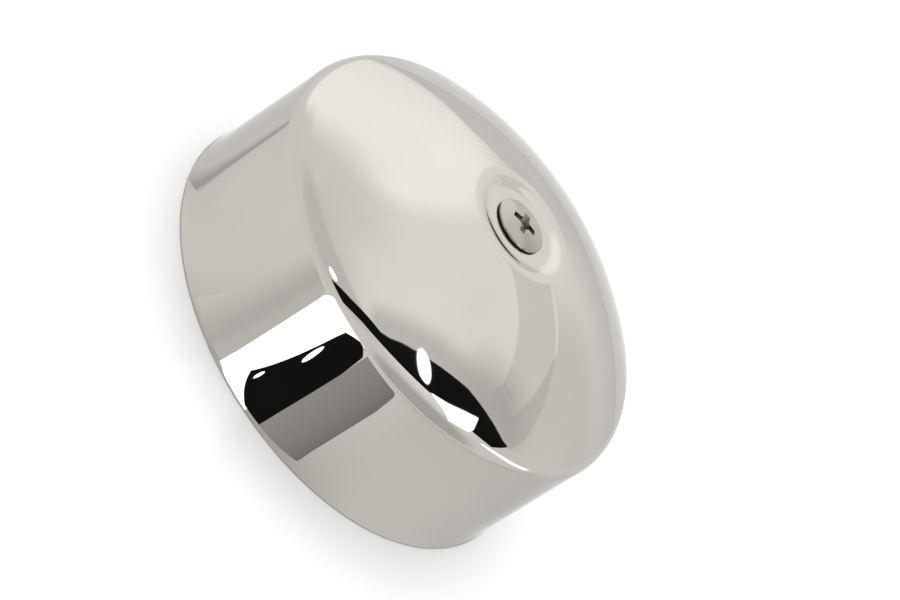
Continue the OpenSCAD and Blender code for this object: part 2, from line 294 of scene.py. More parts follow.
# ---------------------------------------------------------------- mesh tools
def new_piece(name, verts, faces, node, materials=None, smooth=35):
    """A piece that stands for a CAD node, in millimetres as given."""
    mesh = bpy.data.meshes.new(name)
    mesh.from_pydata([Vector(v) * MM for v in verts], [], faces)
    mesh.validate()
    b = bmesh.new()
    b.from_mesh(mesh)
    bmesh.ops.remove_doubles(b, verts=b.verts, dist=1e-7)
    bmesh.ops.recalc_face_normals(b, faces=b.faces)
    b.to_mesh(mesh)
    b.free()
    piece = bpy.data.objects.new(name, mesh)
    bpy.context.collection.objects.link(piece)
    for material in materials or [MATERIALS[SLOT_OF[node]]]:
        mesh.materials.append(material)
    finish_piece(piece, node, smooth)
    return piece


def finish_piece(piece, node, smooth=35):
    piece.data.shade_smooth()
    piece.data.set_sharp_from_angle(angle=math.radians(smooth))
    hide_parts(node)
    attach(piece, BODY_OF[node])


def arc(cx, cz, r, a0, a1, steps):
    """Points on an arc in the half section, angles in degrees from +r towards +z."""
    angles = [math.radians(a0 + (a1 - a0) * i / steps) for i in range(steps + 1)]
    return [(cx + r * math.cos(a), cz + r * math.sin(a)) for a in angles]


def line(a, b, steps):
    return [(a[0] + (b[0] - a[0]) * i / steps, a[1] + (b[1] - a[1]) * i / steps) for i in range(steps + 1)]


def rounded(corners, steps=4):
    """A closed half section from (r, z, corner radius) triples."""
    points = []
    count = len(corners)
    for i, (x, z, radius) in enumerate(corners):
        here = Vector((x, z))
        if radius <= 0:
            points.append((x, z))
            continue
        before = Vector(corners[i - 1][:2]) - here
        after = Vector(corners[(i + 1) % count][:2]) - here
        half = before.angle(after) / 2
        back = min(radius / math.tan(half), before.length * 0.49, after.length * 0.49)
        fillet = back * math.tan(half)
        centre = here + (before.normalized() + after.normalized()).normalized() * (fillet / math.sin(half))
        start = here + before.normalized() * back - centre
        end = here + after.normalized() * back - centre
        sweep = math.atan2(start.x * end.y - start.y * end.x, start.dot(end))
        for k in range(steps + 1):
            t = sweep * k / steps
            turned = Vector((start.x * math.cos(t) - start.y * math.sin(t),
                             start.x * math.sin(t) + start.y * math.cos(t)))
            points.append(tuple(centre + turned))
    return points


def lathe(section, turns=128, radius_at=None, height_at=None):
    """Vertices and faces of a closed half section spun round the axis."""
    verts, faces = [], []
    count = len(section)
    for i in range(turns):
        a = TAU * i / turns
        for r, z in section:
            rr = radius_at(r, z, a) if radius_at else r
            zz = height_at(r, z, a) if height_at else z
            verts.append((rr * math.cos(a), rr * math.sin(a), zz))
    for i in range(turns):
        j = (i + 1) % turns
        for k in range(count):
            m = (k + 1) % count
            faces.append((i * count + k, j * count + k, j * count + m, i * count + m))
    return verts, faces


def moved(shape, offset):
    verts, faces = shape
    return [tuple(Vector(v) + Vector(offset)) for v in verts], faces


def joined(*shapes):
    verts, faces = [], []
    for v, f in shapes:
        base = len(verts)
        verts += v
        faces += [tuple(i + base for i in face) for face in f]
    return verts, faces


def hexagon(flats, a):
    """Radius of a hexagon with its corners on the X axis, at angle a."""
    turn = (a % (TAU / 6)) - TAU / 12
    return flats / 2 / math.cos(turn)


def hex_prism(flats, z0, z1, bore, chamfer_low=True, chamfer_high=True, turns=96):
    """A nut or post: six flats, both ends chamfered as a turned cone, with a bore."""
    touch = flats / 2 * 0.97
    slope = math.tan(math.radians(30))
    side = 99  # a section radius that stands for the hexagon's own
    section = [(bore, z0), (touch, z0), (side, z0), (side, z1), (touch, z1), (bore, z1)]

    def radius_at(r, z, a):
        return hexagon(flats, a) if r == side else r

    def height_at(r, z, a):
        if r != side:
            return z
        drop = (hexagon(flats, a) - touch) * slope
        if z == z0:
            return z + (drop if chamfer_low else 0)
        return z - (drop if chamfer_high else 0)

    return lathe(section, turns, radius_at, height_at)


def helix(core, crest, pitch, z0, z1, turns=64):
    """A screw thread from z0 to z1 on a core, running out at both ends."""
    steps = [(0.0, 0.0), (0.12, 0.0), (0.44, 1.0), (0.56, 1.0), (0.88, 0.0)]
    verts, faces = [], []
    rows = [(k + s, d) for k in range(-1, int((z1 - z0) / pitch) + 2) for s, d in steps]
    grid = []
    for turn, depth in rows:
        ring = []
        for i in range(turns + 1):
            z = z0 + (turn + i / turns) * pitch
            inside = z0 <= z <= z1
            z = min(max(z, z0), z1)
            edge = min(1, (z - z0) / (pitch * 0.9), (z1 - z) / (pitch * 0.9))
            r = core + (crest - core) * depth * max(edge, 0) * inside
            a = TAU * i / turns
            ring.append(len(verts))
            verts.append((r * math.cos(a), r * math.sin(a), z))
        grid.append(ring)
    for low, high in zip(grid, grid[1:]):
        for i in range(turns):
            faces.append((low[i], low[i + 1], high[i + 1], high[i]))
    return verts, faces


def cut(piece, *cutters):
    """Takes the cutters' shapes out of the piece, for good."""
    for verts, faces in cutters:
        mesh = bpy.data.meshes.new("cutter")
        mesh.from_pydata([Vector(v) * MM for v in verts], [], faces)
        tool = bpy.data.objects.new("cutter", mesh)
        bpy.context.collection.objects.link(tool)
        b = bmesh.new()
        b.from_mesh(mesh)
        bmesh.ops.recalc_face_normals(b, faces=b.faces)
        b.to_mesh(mesh)
        b.free()
        modifier = piece.modifiers.new("cut", "BOOLEAN")
        modifier.solver = "EXACT"
        modifier.operation = "DIFFERENCE"
        modifier.object = tool
        graph = bpy.context.evaluated_depsgraph_get()
        made = bpy.data.meshes.new_from_object(piece.evaluated_get(graph))
        piece.modifiers.clear()
        old = piece.data
        piece.data = made
        bpy.data.meshes.remove(old)
        bpy.data.objects.remove(tool)
        bpy.data.meshes.remove(mesh)


# ---------------------------------------------------------------- cover
WALL_R, WALL_H, SHOULDER_R, DOME_R, SHEET = 39.0, 23.8, 5.0, 64.75, 0.8
FLARE, FLARE_H = 0.3, 5.0
SEAT_Z, SEAT_R, DISH_BEND, HOLE_R = 38.0, 6.5, 6.0, 2.8
HOLE_ROUND, HOLE_MID, RIM_ROUND = 0.15, 0.04, 0.22
DOME_EDGE = math.asin((WALL_R - SHOULDER_R) / (DOME_R - SHOULDER_R))
DOME_Z = WALL_H - (DOME_R - SHOULDER_R) * math.cos(DOME_EDGE)


def cover_face(t):
    """The cover's surface t below the outside one, from the rim to the screw hole."""
    flare_r = (FLARE_H ** 2 + FLARE ** 2) / (2 * FLARE)
    low = Vector((SEAT_R, SEAT_Z + DISH_BEND))
    reach, span = DOME_R - DISH_BEND, math.hypot(low.x, low.y - DOME_Z)
    swing = math.acos((span ** 2 + reach ** 2 - 4 * DISH_BEND ** 2) / (2 * span * reach))
    lean = math.atan2(low.x, low.y - DOME_Z) + swing
    high = Vector((reach * math.sin(lean), DOME_Z + reach * math.cos(lean)))
    tilt = math.degrees(math.atan2(high.x - low.x, low.y - high.y))
    dome_deg, lean_deg = 90 - math.degrees(DOME_EDGE), 90 - math.degrees(lean)
    foot = math.degrees(math.asin(FLARE_H / (flare_r + t)))
    points = arc(WALL_R + flare_r, FLARE_H, flare_r + t, 180 + foot, 180, 14)
    points += line((WALL_R - t, FLARE_H), (WALL_R - t, WALL_H), 12)[1:]
    points += arc(WALL_R - SHOULDER_R, WALL_H, SHOULDER_R - t, 0, dome_deg, 22)[1:]
    points += arc(0, DOME_Z, DOME_R - t, dome_deg, lean_deg, 44)[1:]
    points += arc(high.x, high.y, DISH_BEND - t, lean_deg, 90 + tilt, 14)[1:]
    points += arc(low.x, low.y, DISH_BEND + t, 270 + tilt, 270, 12)[1:]
    points += line((SEAT_R, SEAT_Z - t), (HOLE_R + HOLE_ROUND, SEAT_Z - t), 3)[1:]
    return points


outside, inside = cover_face(0), cover_face(SHEET)
rim_out, rim_in = outside[0], inside[0]
hole_edge = [(HOLE_R + HOLE_MID, SEAT_Z - HOLE_MID), (HOLE_R, SEAT_Z - HOLE_ROUND),
             (HOLE_R, SEAT_Z - SHEET + HOLE_ROUND), (HOLE_R + HOLE_MID, SEAT_Z - SHEET + HOLE_MID)]
outside[0] = (rim_out[0], RIM_ROUND)
rim_edge = [(rim_in[0], RIM_ROUND), (rim_in[0] + 0.06, 0.07), (rim_in[0] + RIM_ROUND, 0.0),
            (rim_out[0] - RIM_ROUND, 0.0), (rim_out[0] - 0.06, 0.07)]
section = outside + hole_edge + inside[:0:-1] + rim_edge
cover = new_piece("cover_shell", *lathe(section, 288), "cover",
                  [MATERIALS["cover_chrome"], COVER_INSIDE], smooth=60)
inner_r = WALL_R * MM - SHEET * MM * 0.6
for face in cover.data.polygons:
    x, y, z = face.center
    faces_in = face.normal.dot(Vector((x, y, z + 0.02))) < 0
    face.material_index = 1 if Vector((x, y)).length < inner_r and faces_in else 0

# ---------------------------------------------------------------- screw
HEAD_Z, HEAD_R, HEAD_EDGE, HEAD_CROWN = 38.2, 5.0, 0.3, 0.82
SHANK_R, SHANK_LEN, PITCH = 2.5, 12.0, 0.8
CORE_R, NECK_R, CROWN_R, HEAD_ROUND = 2.05, 2.2, 4.6, 0.12
RECESS_TURN = math.radians(20)
crown_r = (HEAD_R ** 2 + HEAD_CROWN ** 2) / (2 * HEAD_CROWN)
crown_z = HEAD_Z + HEAD_EDGE + HEAD_CROWN - crown_r
crown = arc(0, crown_z, crown_r, 90 - math.degrees(math.asin(CROWN_R / crown_r)), 90, 30)[:-1]
shoulder = [(r, HEAD_Z + HEAD_ROUND + (z - HEAD_Z - HEAD_ROUND) * 0.78)
            for r, z in arc(CROWN_R, HEAD_Z + HEAD_ROUND, 0.4, 0, 72, 9)]
head_section = ([(0.0, HEAD_Z), (4.9, HEAD_Z), (4.97, HEAD_Z + 0.03)] + shoulder + crown
                + [(0.0, HEAD_Z + HEAD_EDGE + HEAD_CROWN)])


def blade(turn):
    """One bar of the cross recess: narrower and shorter towards its floor."""
    top_z, floor_z = HEAD_Z + 2.2, HEAD_Z - 1.3
    rows = [(top_z, 3.15, 0.66), (floor_z + 1.0, 1.7, 0.56), (floor_z, 0.75, 0.42)]
    verts = [(sx * l, sy * w, z) for z, l, w in rows for sx, sy in ((1, 1), (-1, 1), (-1, -1), (1, -1))]
    spin = Matrix.Rotation(RECESS_TURN + turn, 3, "Z")
    faces = [(0, 1, 2, 3), (11, 10, 9, 8)]
    for row in (0, 4):
        faces += [(row + i, row + 4 + i, row + 4 + (i + 1) % 4, row + (i + 1) % 4) for i in range(4)]
    return [tuple(spin @ Vector(v)) for v in verts], faces


point = lathe([(0.0, HEAD_Z - 1.9), (0.55, HEAD_Z - 1.5), (1.55, HEAD_Z + 2.2), (0.0, HEAD_Z + 2.2)], 24)
screw = new_piece("cover_screw_head", *lathe(head_section, 128), "cover_screw", smooth=32)
cut(screw, blade(0), blade(TAU / 4), point)
finish_piece(screw, "cover_screw", 32)
shank_z = HEAD_Z - SHANK_LEN
thread = helix(CORE_R, SHANK_R - 0.01, PITCH, shank_z + 0.4, HEAD_Z - 1.0)
tip = lathe([(0.0, shank_z), (1.7, shank_z), (CORE_R, shank_z + 0.4), (0.0, shank_z + 0.4)], 64)
neck = lathe([(0.0, HEAD_Z - 1.0), (CORE_R, HEAD_Z - 1.0), (NECK_R, HEAD_Z - 0.8), (NECK_R, HEAD_Z - 0.2),
              (2.6, HEAD_Z), (0.0, HEAD_Z)], 64)
new_piece("cover_screw_shank", *joined(thread, tip, neck), "cover_screw", smooth=25)

# ---------------------------------------------------------------- seals on the screw
WASHER_R, SEAL_R, SEAL_T = 4.7, 5.2, 1
SEAL_Z = SEAT_Z - SHEET
# The black fibre washer under the screw head: a real washer whose black also stands in for the shade in the
# gap under the head's edge (painted shade).
washer_section = rounded([
    (HOLE_R, SEAT_Z, 0.05), (WASHER_R, SEAT_Z, 0.1), (WASHER_R, HEAD_Z, 0.1), (HOLE_R, HEAD_Z, 0.05)], 3)
new_piece("head_washer_fibre", *lathe(washer_section, 96), "head_washer")
seal_section = rounded([
    (HOLE_R, SEAL_Z - SEAL_T, 0.2), (SEAL_R, SEAL_Z - SEAL_T, 0.35), (SEAL_R, SEAL_Z, 0.3),
    (HOLE_R, SEAL_Z, 0.2)], 5)
new_piece("screw_seal_rubber", *lathe(seal_section, 96), "screw_seal")

# ---------------------------------------------------------------- element
FOAM_R, FOAM_BORE, FOAM_Z0, FOAM_Z1 = 30.8, 24.6, 4.2, 28.0
SCREEN_T, RING_T, RING_LIP, BEAD = 0.5, 0.8, 2.4, 0.25
ring_out, ring_in = FOAM_R + SCREEN_T + RING_T / 2, FOAM_BORE - SCREEN_T - RING_T / 2


def end_ring(name, node, z_flat, up):
    """A pressed ring whose turned edges hold the screens, with a stiffening bead round its face."""
    t, lip = RING_T, RING_T + RING_LIP
    mid = (ring_out + ring_in) / 2
    corners = [(ring_in, 0, 0.5), (mid - 1.6, 0, 0.4), (mid - 0.9, BEAD, 0.4), (mid + 0.9, BEAD, 0.4),
               (mid + 1.6, 0, 0.4), (ring_out, 0, 0.5), (ring_out, lip, 0.15), (ring_out - t / 2, lip, 0.15),
               (ring_out - t / 2, t, 0.1), (ring_in + t / 2, t, 0.1), (ring_in + t / 2, lip, 0.15),
               (ring_in, lip, 0.15)]
    section = [(r, z_flat + (z if up else -z)) for r, z in rounded(corners, 4)]
    return new_piece(name, *lathe(section, 160), node)


end_ring("bottom_ring_pressed", "bottom_ring", FOAM_Z0 - RING_T, True)
end_ring("top_ring_pressed", "top_ring", FOAM_Z1 + RING_T, False)

GASKET_IN, GASKET_OUT, GASKET_Z0, GASKET_Z1, GROOVE_Z = 24.1, 31.3, 2.2, 3.4, 2.45
gasket_section = rounded([
    (GASKET_IN, GASKET_Z0, 0.3), (26.6, GASKET_Z0, 0.1), (27.0, GROOVE_Z, 0.1), (28.4, GROOVE_Z, 0.1),
    (28.8, GASKET_Z0, 0.1), (GASKET_OUT, GASKET_Z0, 0.3), (GASKET_OUT, GASKET_Z1, 0.3),
    (GASKET_IN, GASKET_Z1, 0.3)], 4)
new_piece("bottom_gasket_rubber", *lathe(gasket_section, 160), "bottom_gasket")


def matted(phase, depth):
    """A radius change that leaves a felt edge slightly uneven."""

    def radius_at(r, z, a):
        return r - depth * (0.5 + 0.5 * math.sin(a * 37 + phase + z * 5) * math.sin(a * 91 + r * 3))

    return radius_at


seal_top = DOME_R - SHEET - 0.3
felt_z = FOAM_Z1 + RING_T
felt_line = [(r, DOME_Z + math.sqrt(seal_top ** 2 - r ** 2)) for r in (31.0, 30.0, 29.0, 28.0, 27.4)]
felt_section = (line((27.15, felt_z), (31.15, felt_z), 6) + [(31.25, felt_z + 0.5)] + felt_line
                + [(27.1, felt_line[-1][1] - 0.5), (27.1, felt_z + 0.6)])
new_piece("top_gasket_felt", *lathe(felt_section, 260, matted(1, 0.09)), "top_gasket", smooth=50)

wall_steps, face_steps = 44, 11
foam_section = (line((FOAM_R, FOAM_Z0), (FOAM_R, FOAM_Z1), wall_steps)[:-1]
                + line((FOAM_R, FOAM_Z1), (FOAM_BORE, FOAM_Z1), face_steps)[:-1]
                + line((FOAM_BORE, FOAM_Z1), (FOAM_BORE, FOAM_Z0), wall_steps)[:-1]
                + line((FOAM_BORE, FOAM_Z0), (FOAM_R, FOAM_Z0), face_steps)[:-1])
foam = new_piece("foam_ring", *lathe(foam_section, 340), "foam", smooth=80)
PORE, PORE_DEPTH = 1.3, 0.35
pores = bpy.data.textures.new("pores", "VORONOI")
pores.noise_scale = PORE * MM
pores.noise_intensity = 1.0
pocket = foam.modifiers.new("pores", "DISPLACE")
pocket.texture = pores
pocket.texture_coords = "LOCAL"
pocket.mid_level = 1.0
pocket.strength = PORE_DEPTH * MM

# ---------------------------------------------------------------- intake base
BORE_R, HORN_R, HORN_TOP, HORN_T, BELL_R, BELL_REACH = 11.0, 12.0, 8.0, 1.0, 2.4, 14.4
BASE_Z, BASE_TOP, PLATE_TOP = 1.0, 2.2, 4.2
FLANGE_R, FLANGE_EDGE = 13.0, 13.2
bell_x = BORE_R + BELL_R + HORN_T
horn_section = (
    [(BORE_R, 0.35), (BORE_R + 0.15, 0.2), (HORN_R - 0.15, 0.2), (HORN_R, 0.35), (HORN_R, PLATE_TOP),
     (FLANGE_R, PLATE_TOP), (FLANGE_EDGE, PLATE_TOP + 0.2), (FLANGE_EDGE, PLATE_TOP + 0.8),
     (FLANGE_R, PLATE_TOP + 1.0), (HORN_R + 0.2, PLATE_TOP + 1.0), (HORN_R, PLATE_TOP + 1.2)]
    + arc(bell_x, HORN_TOP, BELL_R, 180, 90, 12)
    + arc(bell_x, HORN_TOP + BELL_R + HORN_T / 2, HORN_T / 2, -60, 90, 5)[:-1]
    + arc(bell_x, HORN_TOP, BELL_R + HORN_T, 90, 180, 16))
horn_section = [(min(r, BELL_REACH), z) for r, z in horn_section]
new_piece("intake_horn_spun", *lathe(horn_section, 160), "intake_horn")

FIXING_X, FIXING_R, SLEEVE_R, SLEEVE_FLANGE_R, SLEEVE_FLANGE_T = 18, 2.75, 3.6, 4.45, 0.85
sleeve_section = rounded([
    (FIXING_R, BASE_Z, 0.15), (SLEEVE_R, BASE_Z, 0.2), (SLEEVE_R, PLATE_TOP, 0),
    (SLEEVE_FLANGE_R, PLATE_TOP, 0.2), (SLEEVE_FLANGE_R, PLATE_TOP + SLEEVE_FLANGE_T, 0.35),
    (FIXING_R, PLATE_TOP + SLEEVE_FLANGE_T, 0.3)], 4)
new_piece("bolt_sleeves_flanged", *joined(*[
    moved(lathe(sleeve_section, 64), (side * FIXING_X, 0, 0)) for side in (-1, 1)]), "bolt_sleeves")

RIVET_Y, RIVET_R, RIVET_HEAD_R, RIVET_Z, RIVET_TOP = 19.5, 1.6, 2.4, 0.4, 5.2
rivet_section = (
    [(0.0, RIVET_Z)] + rounded([(2.35, RIVET_Z, 0.2), (2.35, 0.98, 0.2), (RIVET_R, BASE_Z, 0)], 3)
    + [(RIVET_R, PLATE_TOP), (RIVET_HEAD_R, PLATE_TOP + 0.02)]
    + arc(0, 2.82, RIVET_HEAD_R + 0.35, 31, 90, 10)[1:-1] + [(0.0, RIVET_TOP)])
rivet_section = [(r, min(z, RIVET_TOP)) for r, z in rivet_section]
new_piece("bridge_rivets_domed", *joined(*[
    moved(lathe(rivet_section, 48), (0, side * RIVET_Y, 0)) for side in (-1, 1)]), "bridge_rivets")


def strip(path, thickness, width, bend, steps=5):
    """A flat strip bent along a path of (y, z) corners, its edges slightly rounded."""
    outer, inner = [], []
    for i, p in enumerate(path):
        p = Vector(p)
        if 0 < i < len(path) - 1:
            d0, d1 = (p - Vector(path[i - 1])).normalized(), (Vector(path[i + 1]) - p).normalized()
            turn = math.atan2(d0.x * d1.y - d0.y * d1.x, d0.dot(d1))
            radius = bend + thickness if turn > 0 else bend
            normal = Vector((-d0.y, d0.x))
            back = radius * math.tan(abs(turn) / 2)
            side = 1 if turn > 0 else -1
            centre = p - d0 * back + normal * side * radius
            for k in range(steps + 1):
                spun = Matrix.Rotation(turn * k / steps, 2)
                n = spun @ normal
                foot = centre - n * side * radius
                outer.append(foot)
                inner.append(foot + n * thickness)
        else:
            d = (Vector(path[1]) - p if i == 0 else p - Vector(path[i - 1])).normalized()
            n = Vector((-d.y, d.x))
            outer.append(p)
            inner.append(p + n * thickness)
    rows, chamfer = [], 0.15
    for x, squeeze in ((-width / 2, chamfer), (-width / 2 + chamfer, 0),
                       (width / 2 - chamfer, 0), (width / 2, chamfer)):
        ring = []
        for a, b in zip(outer, inner):
            across = (b - a).normalized() * squeeze
            ring.append(((x, *(a + across)), (x, *(b - across))))
        rows.append(ring)
    verts = [v for ring in rows for pair in ring for v in pair]
    count = len(outer)

    def index(r, k, s):
        return (r * count + k) * 2 + s

    faces = []
    for r in range(3):
        for k in range(count - 1):
            for s in (0, 1):
                faces.append((index(r, k, s), index(r, k + 1, s), index(r + 1, k + 1, s),
                              index(r + 1, k, s)))
        for k in (0, count - 1):
            faces.append((index(r, k, 0), index(r, k, 1), index(r + 1, k, 1), index(r + 1, k, 0)))
    for r in (0, 3):
        for k in range(count - 1):
            faces.append((index(r, k, 0), index(r, k + 1, 0), index(r, k + 1, 1), index(r, k, 1)))
    return verts, faces


FOOT_Y, LEG_Y, BRIDGE_TOP, BRIDGE_T, BRIDGE_W, BRIDGE_BEND = 22, 17, 18, 2.0, 10.0, 0.6
bridge_path = [(FOOT_Y, BASE_TOP), (LEG_Y, BASE_TOP), (LEG_Y, BRIDGE_TOP),
               (-LEG_Y, BRIDGE_TOP), (-LEG_Y, BASE_TOP), (-FOOT_Y, BASE_TOP)]
new_piece("bridge_bent", *strip(bridge_path, BRIDGE_T, BRIDGE_W, BRIDGE_BEND), "bridge", smooth=30)
POST_FLATS, POST_TOP, POST_BORE, TAIL_Z, NUT_TOP, NUT_H = 8.0, 36.2, 2.62, 10.2, 14.9, 4.0
post_hex = hex_prism(POST_FLATS, BRIDGE_TOP, POST_TOP, POST_BORE, chamfer_low=False)
hole_floor = lathe([(0.0, BRIDGE_TOP + 0.1), (POST_BORE, BRIDGE_TOP + 0.1), (POST_BORE, 22.6),
                    (0.0, 21.4)], 48)
post_tail = helix(CORE_R, SHANK_R, PITCH, 10.4, BRIDGE_TOP)
tail_end = lathe([(0.0, TAIL_Z), (1.85, TAIL_Z), (CORE_R, 10.4), (0.0, 10.4)], 64)
new_piece("cover_post_hex", *joined(post_hex, hole_floor, post_tail, tail_end), "cover_post", smooth=28)
new_piece("post_nut_hex", *hex_prism(POST_FLATS, NUT_TOP - NUT_H, NUT_TOP, SHANK_R), "post_nut", smooth=28)


def split_washer(r_out, r_in, z0, z1, gap_deg, twist, steps=90):
    """A spring washer pulled flat, with its slanted cut still showing."""
    verts, faces = [], []
    c = 0.12  # the chamfer
    ring = [(r_in, z0 + c), (r_in + c, z0), (r_out - c, z0), (r_out, z0 + c),
            (r_out, z1 - c), (r_out - c, z1), (r_in + c, z1), (r_in, z1 - c)]
    count = len(ring)
    for i in range(steps + 1):
        for r, z in ring:
            lean = twist * ((z - z0) / (z1 - z0) - 0.5)
            a = math.radians(gap_deg / 2 + (360 - gap_deg) * i / steps + lean)
            verts.append((r * math.cos(a), r * math.sin(a), z))
    for i in range(steps):
        for k in range(count):
            m = (k + 1) % count
            faces.append((i * count + k, (i + 1) * count + k, (i + 1) * count + m, i * count + m))
    faces += [tuple(range(count)), tuple(range(steps * count, (steps + 1) * count))]
    return verts, faces


split = split_washer(4.0, SHANK_R, NUT_TOP, BRIDGE_TOP - BRIDGE_T, gap_deg=7, twist=14)
new_piece("post_washer_split", *split, "post_washer")

# ---------------------------------------------------------------- CAD nodes that stay
KEPT_EDGE = {"base_plate": 0.22, "ear_pads": 0.3, "mount_gasket": 0.12, "mount_plate": 0.25,
             "inner_cage": 0, "outer_screen": 0}
for node, edge in KEPT_EDGE.items():
    kept = frame["nodes"][node]
    for slot in kept.material_slots:
        slot.material = MATERIALS[SLOT_OF[node]]
    if edge:
        bevel = kept.modifiers.new("edges", "BEVEL")
        bevel.width = edge * MM
        bevel.segments = 2
        bevel.limit_method = "ANGLE"
        bevel.angle_limit = math.radians(50)


# ---------------------------------------------------------------- studio
def plain(name, colour, rough=0.8):
    n = Nodes(name, Specular_IOR_Level=0.2)
    grain = n.noise(n.place(), 30, 3)
    low, high = shades(colour, 0.995, 1.0)
    n.set("Base Color", n.ramp(grain, (0.3, low), (0.7, high)))
    n.shader.inputs["Roughness"].default_value = rough
    return n.material


FAR = 3.0


def toward(azimuth, from_zenith, distance=FAR):
    """A point in that direction, angles in degrees: azimuth from +X towards +Y."""
    a, t = math.radians(azimuth), math.radians(from_zenith)
    return Vector((math.sin(t) * math.cos(a), math.sin(t) * math.sin(a), math.cos(t))) * distance


def reflector(name, verts, faces, light, fade=None, shades=None):
    """A lit panel or a black flag of the studio that only reflections see.

    It is clear where fade is 0, and shades scale its light from point to point.
    """
    mesh = bpy.data.meshes.new(name)
    mesh.from_pydata(verts, [], faces)
    piece = bpy.data.objects.new(name, mesh)
    bpy.context.collection.objects.link(piece)
    material = bpy.data.materials.new(name)
    material.use_nodes = True
    tree = material.node_tree
    tree.nodes.clear()
    output = tree.nodes.new("ShaderNodeOutputMaterial")
    glow = tree.nodes.new("ShaderNodeEmission")
    glow.inputs["Strength"].default_value = light
    surface = glow.outputs[0]

    def painted_layer(layer_name, values):
        layer = mesh.color_attributes.new(layer_name, "FLOAT_COLOR", "POINT")
        for entry, value in zip(layer.data, values):
            entry.color = (value, value, value, 1)
        attribute = tree.nodes.new("ShaderNodeVertexColor")
        attribute.layer_name = layer_name
        return attribute.outputs["Color"]

    if shades:
        tree.links.new(painted_layer("shades", shades), glow.inputs["Color"])
    if fade:
        clear = tree.nodes.new("ShaderNodeBsdfTransparent")
        mix = tree.nodes.new("ShaderNodeMixShader")
        tree.links.new(painted_layer("fade", fade), mix.inputs[0])
        tree.links.new(clear.outputs[0], mix.inputs[1])
        tree.links.new(surface, mix.inputs[2])
        surface = mix.outputs[0]
    tree.links.new(surface, output.inputs["Surface"])
    mesh.materials.append(material)
    piece.visible_camera = False
    piece.visible_diffuse = False
    piece.visible_shadow = False


def filled(outline):
    """Triangles that fill a flat closed outline."""
    b = bmesh.new()
    corners = [b.verts.new((p[0], p[1], 0)) for p in outline]
    b.verts.index_update()
    bmesh.ops.triangulate(b, faces=[b.faces.new(corners)])
    faces = [tuple(v.index for v in f.verts) for f in b.faces]
    b.free()
    return faces


def panel(name, corners, light, distance=FAR):
    """A straight-edged panel with its corners in the given directions."""
    flat = [(t * math.cos(math.radians(a)), t * math.sin(math.radians(a))) for a, t in corners]
    reflector(name, [toward(a, t, distance) for a, t in corners], filled(flat), light)


# How a soft edge fades: shares of its width, and the cover left there.
FALL = [(0.0, 1.0), (0.2, 0.9), (0.4, 0.65), (0.6, 0.35), (0.8, 0.1), (1.0, 0.0)]


def soft_patch(name, centre, out, across, edge, light, distance=FAR, cover=1.0, turns=64):
    """An oval panel that fades out over its edge.

    Its half sizes are in degrees, away from the zenith and across that.
    """
    middle = toward(*centre, 1)
    down = toward(centre[0], centre[1] + 90, 1)
    side = middle.cross(down)
    verts, fade = [middle * distance], [cover]
    for share, value in FALL:
        for i in range(turns):
            a = TAU * i / turns
            x, y = (out + edge * share) * math.cos(a), (across + edge * share) * math.sin(a)
            r = math.radians(math.hypot(x, y))
            along = (down * x + side * y).normalized()
            verts.append((middle * math.cos(r) + along * math.sin(r)) * distance)
            fade.append(value * cover)
    faces = [(0, 1 + i, 1 + (i + 1) % turns) for i in range(turns)]
    for ring in range(len(FALL) - 1):
        near, far = 1 + ring * turns, 1 + (ring + 1) * turns
        faces += [(near + i, far + i, far + (i + 1) % turns, near + (i + 1) % turns) for i in range(turns)]
    reflector(name, verts, faces, light, fade)


def soft_strip(name, path, width, edge, light, distance=FAR, cover=1.0, steps=8):
    """A strip along a path of directions that fades out over its edges, widths in degrees."""
    middle = []
    for a, b in zip(path, path[1:]):
        a, b = toward(*a, 1), toward(*b, 1)
        middle += [a.lerp(b, k / steps).normalized() for k in range(steps)]
    middle.append(toward(*path[-1], 1))
    half = [width / 2 + edge * share for share, _ in FALL]
    reach = [-r for r in reversed(half)] + half
    shade = [f for _, f in reversed(FALL)] + [f for _, f in FALL]
    along = [min(1.0, i / 4, (len(middle) - 1 - i) / 4) for i in range(len(middle))]
    verts, fade = [], []
    for i, centre in enumerate(middle):
        ahead = middle[min(i + 1, len(middle) - 1)] - middle[max(i - 1, 0)]
        sideways = centre.cross(ahead).normalized()
        for r, f in zip(reach, shade):
            r = math.radians(r)
            verts.append((centre * math.cos(r) + sideways * math.sin(r)) * distance)
            fade.append(f * along[i] * cover)
    count = len(reach)
    faces = [(i * count + k, (i + 1) * count + k, (i + 1) * count + k + 1, i * count + k + 1)
             for i in range(len(middle) - 1) for k in range(count - 1)]
    reflector(name, verts, faces, light, fade)


def floor_card(name, corners, light, height):
    """A straight-edged card that lies on the table, corners in millimetres."""
    reflector(name, [Vector((x, y, height)) * MM for x, y in corners], filled(corners), light)


def graded_card(name, near, far, light, shades, height, fade=None):
    """A card on the table between two lines, its light scaled from near to far.

    It is clear where fade, which runs along the lines, is 0.
    """
    columns = len(shades)
    verts = [Vector((*Vector(a).lerp(Vector(b), k / (columns - 1)), height)) * MM
             for a, b in zip(near, far) for k in range(columns)]
    faces = [(i * columns + k, (i + 1) * columns + k, (i + 1) * columns + k + 1, i * columns + k + 1)
             for i in range(len(near) - 1) for k in range(columns - 1)]
    fades = [f for f in fade for _ in shades] if fade else None
    reflector(name, verts, faces, light, fades, shades * len(near))


